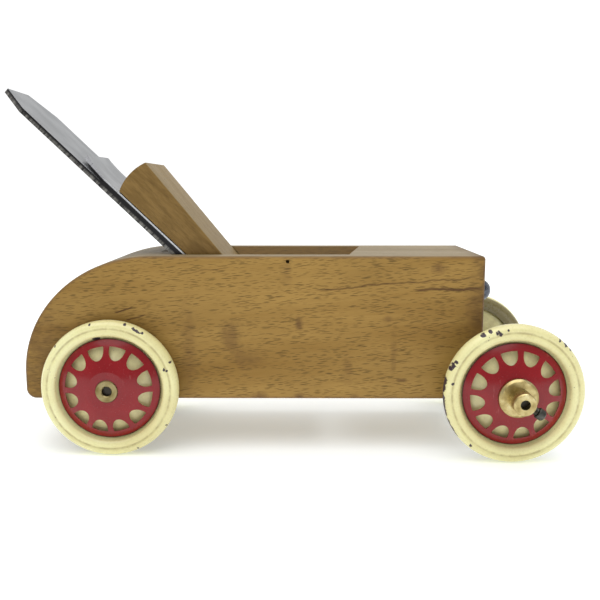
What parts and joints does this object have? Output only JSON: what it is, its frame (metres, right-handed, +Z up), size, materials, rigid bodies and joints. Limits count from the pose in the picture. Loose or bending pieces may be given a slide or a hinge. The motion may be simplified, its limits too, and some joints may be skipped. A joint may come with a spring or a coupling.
{
  "type": "hand plane on wheels",
  "caption": "Wooden smoothing plane with double iron and wedge, its heel rounded as a car tail, mounted as a toy on spoked-look pressed tin wheels.",
  "frame": {"origin": "on the floor, under the middle of the overall box", "axes": "+X from the tail to the toe (the way the car drives), +Y to the car's left, +Z up"},
  "size_m": [0.2562, 0.1248, 0.1626],
  "materials": {
    "beech_body": "oiled, worn beech with dark flecks",
    "beech_wedge": "oiled beech",
    "iron_steel": "satin faces, pitted dark edges",
    "cap_steel": "satin",
    "screw_steel": "darkened steel",
    "stud_steel": "dark polished steel",
    "bracket_steel": "dull steel sheet",
    "axle_steel": "drawn steel rod",
    "cream_paint": "gloss cream enamel with chips",
    "red_paint": "gloss red enamel",
    "hub_brass": "turned brass, aged",
    "set_screw_steel": "blued steel"
  },
  "bodies": {
    "chassis": {"plane_body": "beech_body", "headlamp_left": "stud_steel", "headlamp_right": "stud_steel", "axle_bracket_left": "bracket_steel", "axle_bracket_right": "bracket_steel", "bracket_screws": "screw_steel"},
    "cutter": {"plane_iron": "iron_steel", "cap_iron": "cap_steel", "cap_iron_screw": "screw_steel"},
    "wedge_body": {"wedge": "beech_wedge"},
    "front_wheels": {"front_axle": "axle_steel", "tyre_shell_front_right": "cream_paint", "wheel_disc_front_right": "red_paint", "wheel_hub_front_right": "hub_brass", "set_screw_front_right": "set_screw_steel", "tyre_shell_front_left": "cream_paint", "wheel_disc_front_left": "red_paint", "wheel_hub_front_left": "hub_brass", "set_screw_front_left": "set_screw_steel"},
    "rear_wheels": {"rear_axle": "axle_steel", "tyre_shell_rear_right": "cream_paint", "wheel_disc_rear_right": "red_paint", "wheel_hub_rear_right": "hub_brass", "set_screw_rear_right": "set_screw_steel", "tyre_shell_rear_left": "cream_paint", "wheel_disc_rear_left": "red_paint", "wheel_hub_rear_left": "hub_brass", "set_screw_rear_left": "set_screw_steel"}
  },
  "joints": [
    {"name": "front_wheels_roll", "type": "hinge", "parent": "chassis", "child": "front_wheels", "pos_m": [0.09747, 0, 0.0306], "axis": [0, 1, 0], "continuous": true},
    {"name": "rear_wheels_roll", "type": "hinge", "parent": "chassis", "child": "rear_wheels", "pos_m": [-0.07938, 0, 0.0306], "axis": [0, 1, 0], "continuous": true},
    {"name": "iron_slide", "type": "slide", "parent": "chassis", "child": "cutter", "axis": [-0.7213, 0, 0.6926], "range_m": [-0.005, 0.008]},
    {"name": "wedge_slide", "type": "slide", "parent": "chassis", "child": "wedge_body", "axis": [-0.6351, 0, 0.7724], "range_m": [0, 0.045]}
  ]
}
